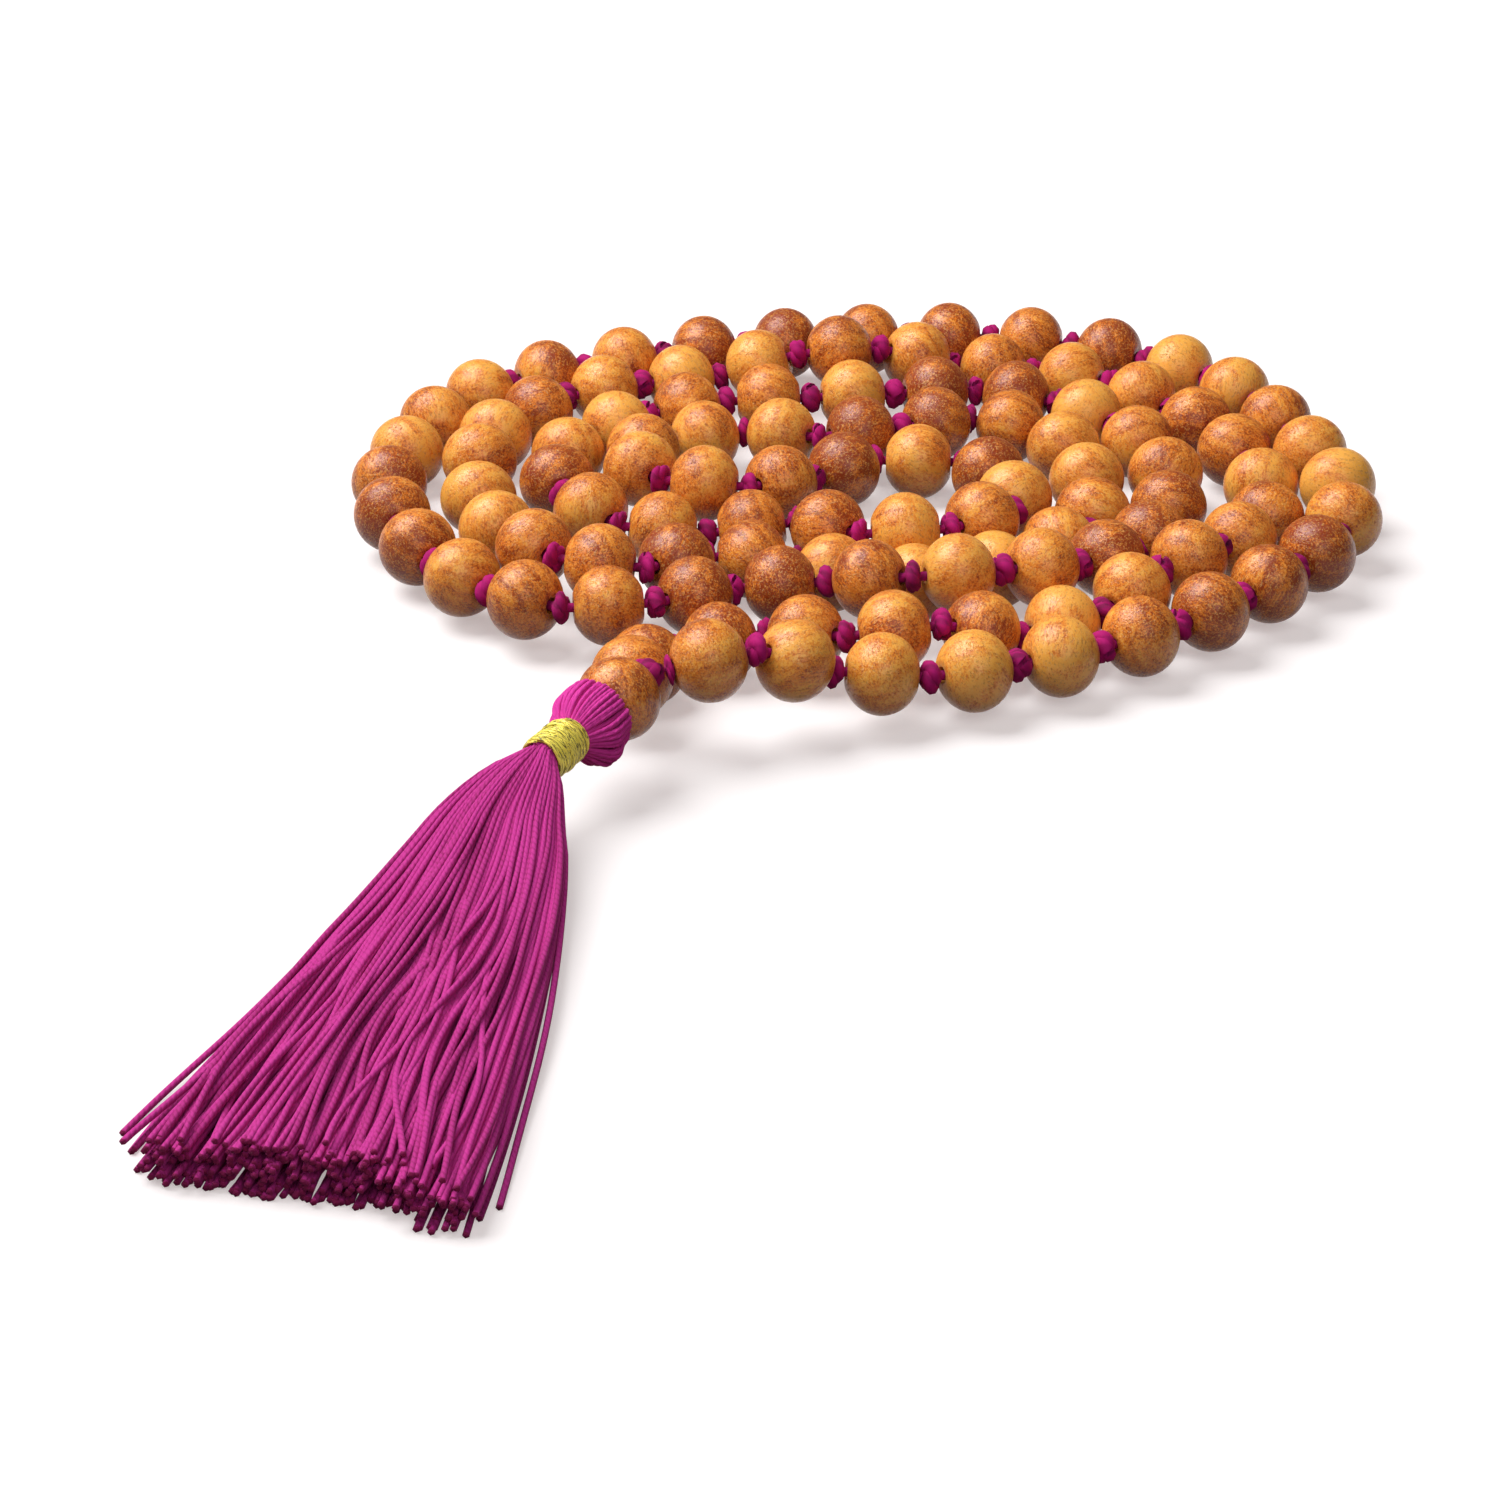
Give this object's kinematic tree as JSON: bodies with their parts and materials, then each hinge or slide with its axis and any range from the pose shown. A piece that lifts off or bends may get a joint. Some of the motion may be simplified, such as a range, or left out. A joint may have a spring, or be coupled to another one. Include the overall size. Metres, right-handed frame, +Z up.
{
  "type": "mala prayer beads",
  "caption": "Closed strand of round wooden beads with a cotton knot between each, lying in loops, ending in a guru bead and a yarn tassel bound with metallic thread.",
  "frame": {"origin": "centre of the bounding box's underside, on the surface that the mala lies on", "axes": "+Z up from that surface, +Y away from the tassel's cut end along the longest extent"},
  "size_m": [0.1148, 0.1832, 0.0137],
  "materials": {
    "sandalwood": "satin",
    "cotton_cord": "matt",
    "tassel_yarn": "matt",
    "gold_thread": "metallic thread"
  },
  "bodies": {
    "strand": {"beads_025_039": "sandalwood", "beads_040_054": "sandalwood", "beads_055_069": "sandalwood", "beads_070_084": "sandalwood", "knotted_cord": "cotton_cord"},
    "bead_001": {"bead_001": "sandalwood"},
    "bead_002": {"bead_002": "sandalwood"},
    "bead_003": {"bead_003": "sandalwood"},
    "bead_004": {"bead_004": "sandalwood"},
    "bead_005": {"bead_005": "sandalwood"},
    "bead_006": {"bead_006": "sandalwood"},
    "bead_007": {"bead_007": "sandalwood"},
    "bead_008": {"bead_008": "sandalwood"},
    "bead_009": {"bead_009": "sandalwood"},
    "bead_010": {"bead_010": "sandalwood"},
    "bead_011": {"bead_011": "sandalwood"},
    "bead_012": {"bead_012": "sandalwood"},
    "bead_013": {"bead_013": "sandalwood"},
    "bead_014": {"bead_014": "sandalwood"},
    "bead_015": {"bead_015": "sandalwood"},
    "bead_016": {"bead_016": "sandalwood"},
    "bead_017": {"bead_017": "sandalwood"},
    "bead_018": {"bead_018": "sandalwood"},
    "bead_019": {"bead_019": "sandalwood"},
    "bead_020": {"bead_020": "sandalwood"},
    "bead_021": {"bead_021": "sandalwood"},
    "bead_022": {"bead_022": "sandalwood"},
    "bead_023": {"bead_023": "sandalwood"},
    "bead_024": {"bead_024": "sandalwood"},
    "bead_085": {"bead_085": "sandalwood"},
    "bead_086": {"bead_086": "sandalwood"},
    "bead_087": {"bead_087": "sandalwood"},
    "bead_088": {"bead_088": "sandalwood"},
    "bead_089": {"bead_089": "sandalwood"},
    "bead_090": {"bead_090": "sandalwood"},
    "bead_091": {"bead_091": "sandalwood"},
    "bead_092": {"bead_092": "sandalwood"},
    "bead_093": {"bead_093": "sandalwood"},
    "bead_094": {"bead_094": "sandalwood"},
    "bead_095": {"bead_095": "sandalwood"},
    "bead_096": {"bead_096": "sandalwood"},
    "bead_097": {"bead_097": "sandalwood"},
    "bead_098": {"bead_098": "sandalwood"},
    "bead_099": {"bead_099": "sandalwood"},
    "bead_100": {"bead_100": "sandalwood"},
    "bead_101": {"bead_101": "sandalwood"},
    "bead_102": {"bead_102": "sandalwood"},
    "bead_103": {"bead_103": "sandalwood"},
    "bead_104": {"bead_104": "sandalwood"},
    "bead_105": {"bead_105": "sandalwood"},
    "bead_106": {"bead_106": "sandalwood"},
    "bead_107": {"bead_107": "sandalwood"},
    "bead_108": {"bead_108": "sandalwood"},
    "gather": {"gather_knot": "cotton_cord"},
    "tassel": {"tassel_tie": "cotton_cord", "tassel_head": "tassel_yarn", "gold_binding": "gold_thread", "tassel_skirt": "tassel_yarn"},
    "guru": {"guru_bead": "sandalwood"}
  },
  "joints": [
    {"name": "turn_bead_001", "type": "hinge", "parent": "strand", "child": "bead_001", "pos_m": [-0.01197, -0.00914, 0.00971], "axis": [0.9609, 0.2452, 0.1287], "continuous": true},
    {"name": "turn_bead_002", "type": "hinge", "parent": "strand", "child": "bead_002", "pos_m": [-0.00386, -0.00605, 0.00827], "axis": [0.7924, 0.4232, -0.4393], "continuous": true},
    {"name": "turn_bead_003", "type": "hinge", "parent": "strand", "child": "bead_003", "pos_m": [0.00441, -0.00378, 0.00579], "axis": [0.9931, 0.0668, -0.0965], "continuous": true},
    {"name": "turn_bead_004", "type": "hinge", "parent": "strand", "child": "bead_004", "pos_m": [0.01328, -0.00168, 0.00511], "axis": [0.9208, 0.3868, -0.0502], "continuous": true},
    {"name": "turn_bead_005", "type": "hinge", "parent": "strand", "child": "bead_005", "pos_m": [0.02174, 0.00209, 0.00489], "axis": [0.9048, 0.4259, 0.0027], "continuous": true},
    {"name": "turn_bead_006", "type": "hinge", "parent": "strand", "child": "bead_006", "pos_m": [0.02983, 0.0066, 0.00494], "axis": [0.8374, 0.5466, 0.0077], "continuous": true},
    {"name": "turn_bead_007", "type": "hinge", "parent": "strand", "child": "bead_007", "pos_m": [0.03713, 0.0123, 0.00498], "axis": [0.733, 0.6803, 0.0011], "continuous": true},
    {"name": "turn_bead_008", "type": "hinge", "parent": "strand", "child": "bead_008", "pos_m": [0.04359, 0.01897, 0.00499], "axis": [0.6561, 0.7547, 0.0012], "continuous": true},
    {"name": "turn_bead_009", "type": "hinge", "parent": "strand", "child": "bead_009", "pos_m": [0.04922, 0.02636, 0.00504], "axis": [0.5534, 0.8329, 0.0104], "continuous": true},
    {"name": "turn_bead_010", "type": "hinge", "parent": "strand", "child": "bead_010", "pos_m": [0.05291, 0.03475, 0.00513], "axis": [0.2373, 0.9714, 0.008], "continuous": true},
    {"name": "turn_bead_011", "type": "hinge", "parent": "strand", "child": "bead_011", "pos_m": [0.05338, 0.04388, 0.00513], "axis": [-0.1373, 0.9905, -0.0062], "continuous": true},
    {"name": "turn_bead_012", "type": "hinge", "parent": "strand", "child": "bead_012", "pos_m": [0.05149, 0.05299, 0.00508], "axis": [-0.269, 0.9631, -0.0061], "continuous": true},
    {"name": "turn_bead_013", "type": "hinge", "parent": "strand", "child": "bead_013", "pos_m": [0.04874, 0.06191, 0.00503], "axis": [-0.3214, 0.9469, -0.0046], "continuous": true},
    {"name": "turn_bead_014", "type": "hinge", "parent": "strand", "child": "bead_014", "pos_m": [0.04517, 0.07051, 0.00493], "axis": [-0.4439, 0.8959, -0.0173], "continuous": true},
    {"name": "turn_bead_015", "type": "hinge", "parent": "strand", "child": "bead_015", "pos_m": [0.03977, 0.07796, 0.0047], "axis": [-0.7153, 0.6981, -0.0321], "continuous": true},
    {"name": "turn_bead_016", "type": "hinge", "parent": "strand", "child": "bead_016", "pos_m": [0.03235, 0.08347, 0.00453], "axis": [-0.8767, 0.481, -0.0039], "continuous": true},
    {"name": "turn_bead_017", "type": "hinge", "parent": "strand", "child": "bead_017", "pos_m": [0.02371, 0.08671, 0.00463], "axis": [-0.977, 0.2115, 0.0257], "continuous": true},
    {"name": "turn_bead_018", "type": "hinge", "parent": "strand", "child": "bead_018", "pos_m": [0.01449, 0.08755, 0.00483], "axis": [-0.9993, -0.0328, 0.0184], "continuous": true},
    {"name": "turn_bead_019", "type": "hinge", "parent": "strand", "child": "bead_019", "pos_m": [0.00517, 0.08697, 0.00492], "axis": [-0.9958, -0.0915, -0.0001], "continuous": true},
    {"name": "turn_bead_020", "type": "hinge", "parent": "strand", "child": "bead_020", "pos_m": [-0.0041, 0.08593, 0.0048], "axis": [-0.9908, -0.1333, -0.0248], "continuous": true},
    {"name": "turn_bead_021", "type": "hinge", "parent": "strand", "child": "bead_021", "pos_m": [-0.01326, 0.08423, 0.00452], "axis": [-0.9723, -0.2306, -0.0367], "continuous": true},
    {"name": "turn_bead_022", "type": "hinge", "parent": "strand", "child": "bead_022", "pos_m": [-0.02218, 0.08153, 0.00422], "axis": [-0.9371, -0.3481, -0.026], "continuous": true},
    {"name": "turn_bead_023", "type": "hinge", "parent": "strand", "child": "bead_023", "pos_m": [-0.03071, 0.07781, 0.00406], "axis": [-0.8925, -0.4509, -0.0089], "continuous": true},
    {"name": "turn_bead_024", "type": "hinge", "parent": "strand", "child": "bead_024", "pos_m": [-0.03788, 0.07216, 0.00401], "axis": [-0.6439, -0.7652, -0.001], "continuous": true},
    {"name": "turn_bead_085", "type": "hinge", "parent": "strand", "child": "bead_085", "pos_m": [-0.03555, 0.05936, 0.0044], "axis": [0.2624, 0.952, -0.1575], "continuous": true},
    {"name": "turn_bead_086", "type": "hinge", "parent": "strand", "child": "bead_086", "pos_m": [-0.03134, 0.06724, 0.004], "axis": [0.6493, 0.7572, 0.0714], "continuous": true},
    {"name": "turn_bead_087", "type": "hinge", "parent": "strand", "child": "bead_087", "pos_m": [-0.02422, 0.07281, 0.00424], "axis": [0.893, 0.4495, -0.0198], "continuous": true},
    {"name": "turn_bead_088", "type": "hinge", "parent": "strand", "child": "bead_088", "pos_m": [-0.01576, 0.07644, 0.004], "axis": [0.9401, 0.3394, -0.0321], "continuous": true},
    {"name": "turn_bead_089", "type": "hinge", "parent": "strand", "child": "bead_089", "pos_m": [-0.00708, 0.07765, 0.00537], "axis": [0.9414, -0.0762, 0.3285], "continuous": true},
    {"name": "turn_bead_090", "type": "hinge", "parent": "strand", "child": "bead_090", "pos_m": [0.00182, 0.07801, 0.00691], "axis": [0.9881, 0.1538, 0.0054], "continuous": true},
    {"name": "turn_bead_091", "type": "hinge", "parent": "strand", "child": "bead_091", "pos_m": [0.01054, 0.08, 0.00541], "axis": [0.9031, 0.2761, -0.3289], "continuous": true},
    {"name": "turn_bead_092", "type": "hinge", "parent": "strand", "child": "bead_092", "pos_m": [0.01912, 0.07997, 0.004], "axis": [0.9595, -0.2809, 0.0215], "continuous": true},
    {"name": "turn_bead_093", "type": "hinge", "parent": "strand", "child": "bead_093", "pos_m": [0.02769, 0.07666, 0.00425], "axis": [0.899, -0.4366, 0.0324], "continuous": true},
    {"name": "turn_bead_094", "type": "hinge", "parent": "strand", "child": "bead_094", "pos_m": [0.03502, 0.07133, 0.00411], "axis": [0.6929, -0.7183, -0.0623], "continuous": true},
    {"name": "turn_bead_095", "type": "hinge", "parent": "strand", "child": "bead_095", "pos_m": [0.04036, 0.06395, 0.004], "axis": [0.468, -0.8829, 0.0385], "continuous": true},
    {"name": "turn_bead_096", "type": "hinge", "parent": "strand", "child": "bead_096", "pos_m": [0.04372, 0.05545, 0.00429], "axis": [0.2624, -0.9646, 0.0245], "continuous": true},
    {"name": "turn_bead_097", "type": "hinge", "parent": "strand", "child": "bead_097", "pos_m": [0.0457, 0.0465, 0.00404], "axis": [0.1693, -0.9825, -0.0777], "continuous": true},
    {"name": "turn_bead_098", "type": "hinge", "parent": "strand", "child": "bead_098", "pos_m": [0.0453, 0.03754, 0.004], "axis": [-0.254, -0.9649, 0.0671], "continuous": true},
    {"name": "turn_bead_099", "type": "hinge", "parent": "strand", "child": "bead_099", "pos_m": [0.04159, 0.02935, 0.00516], "axis": [-0.5502, -0.8144, 0.1848], "continuous": true},
    {"name": "turn_bead_100", "type": "hinge", "parent": "strand", "child": "bead_100", "pos_m": [0.03585, 0.02229, 0.00623], "axis": [-0.6943, -0.7181, 0.0481], "continuous": true},
    {"name": "turn_bead_101", "type": "hinge", "parent": "strand", "child": "bead_101", "pos_m": [0.02964, 0.01558, 0.00565], "axis": [-0.6524, -0.7375, -0.1742], "continuous": true},
    {"name": "turn_bead_102", "type": "hinge", "parent": "strand", "child": "bead_102", "pos_m": [0.02247, 0.01024, 0.00442], "axis": [-0.9025, -0.4209, -0.0914], "continuous": true},
    {"name": "turn_bead_103", "type": "hinge", "parent": "strand", "child": "bead_103", "pos_m": [0.01434, 0.00645, 0.00552], "axis": [-0.8567, -0.399, 0.327], "continuous": true},
    {"name": "turn_bead_104", "type": "hinge", "parent": "strand", "child": "bead_104", "pos_m": [0.00579, 0.00426, 0.00659], "axis": [-0.9927, -0.0749, -0.0941], "continuous": true},
    {"name": "turn_bead_105", "type": "hinge", "parent": "strand", "child": "bead_105", "pos_m": [-0.0027, 0.00622, 0.00523], "axis": [-0.8444, 0.4971, -0.1996], "continuous": true},
    {"name": "turn_bead_106", "type": "hinge", "parent": "strand", "child": "bead_106", "pos_m": [-0.01103, 0.0072, 0.004], "axis": [-0.9569, -0.2828, -0.0663], "continuous": true},
    {"name": "turn_bead_107", "type": "hinge", "parent": "strand", "child": "bead_107", "pos_m": [-0.01803, 0.00206, 0.00401], "axis": [-0.5565, -0.8282, 0.0666], "continuous": true},
    {"name": "turn_bead_108", "type": "hinge", "parent": "strand", "child": "bead_108", "pos_m": [-0.01924, -0.00568, 0.00638], "axis": [0.2958, -0.8444, 0.4468], "continuous": true},
    {"name": "swing_tassel", "type": "hinge", "parent": "strand", "child": "gather", "pos_m": [-0.01753, -0.01056, 0.00896], "axis": [0, 0, 1], "range_deg": [-25, 25]},
    {"name": "lift_tassel", "type": "hinge", "parent": "gather", "child": "tassel", "pos_m": [-0.01753, -0.01056, 0.00896], "axis": [-0.848, 0.5299, 0], "range_deg": [0, 60]},
    {"name": "turn_guru_bead", "type": "hinge", "parent": "tassel", "child": "guru", "pos_m": [-0.02026, -0.01493, 0.00851], "axis": [-0.5279, -0.8448, -0.0872], "continuous": true}
  ]
}
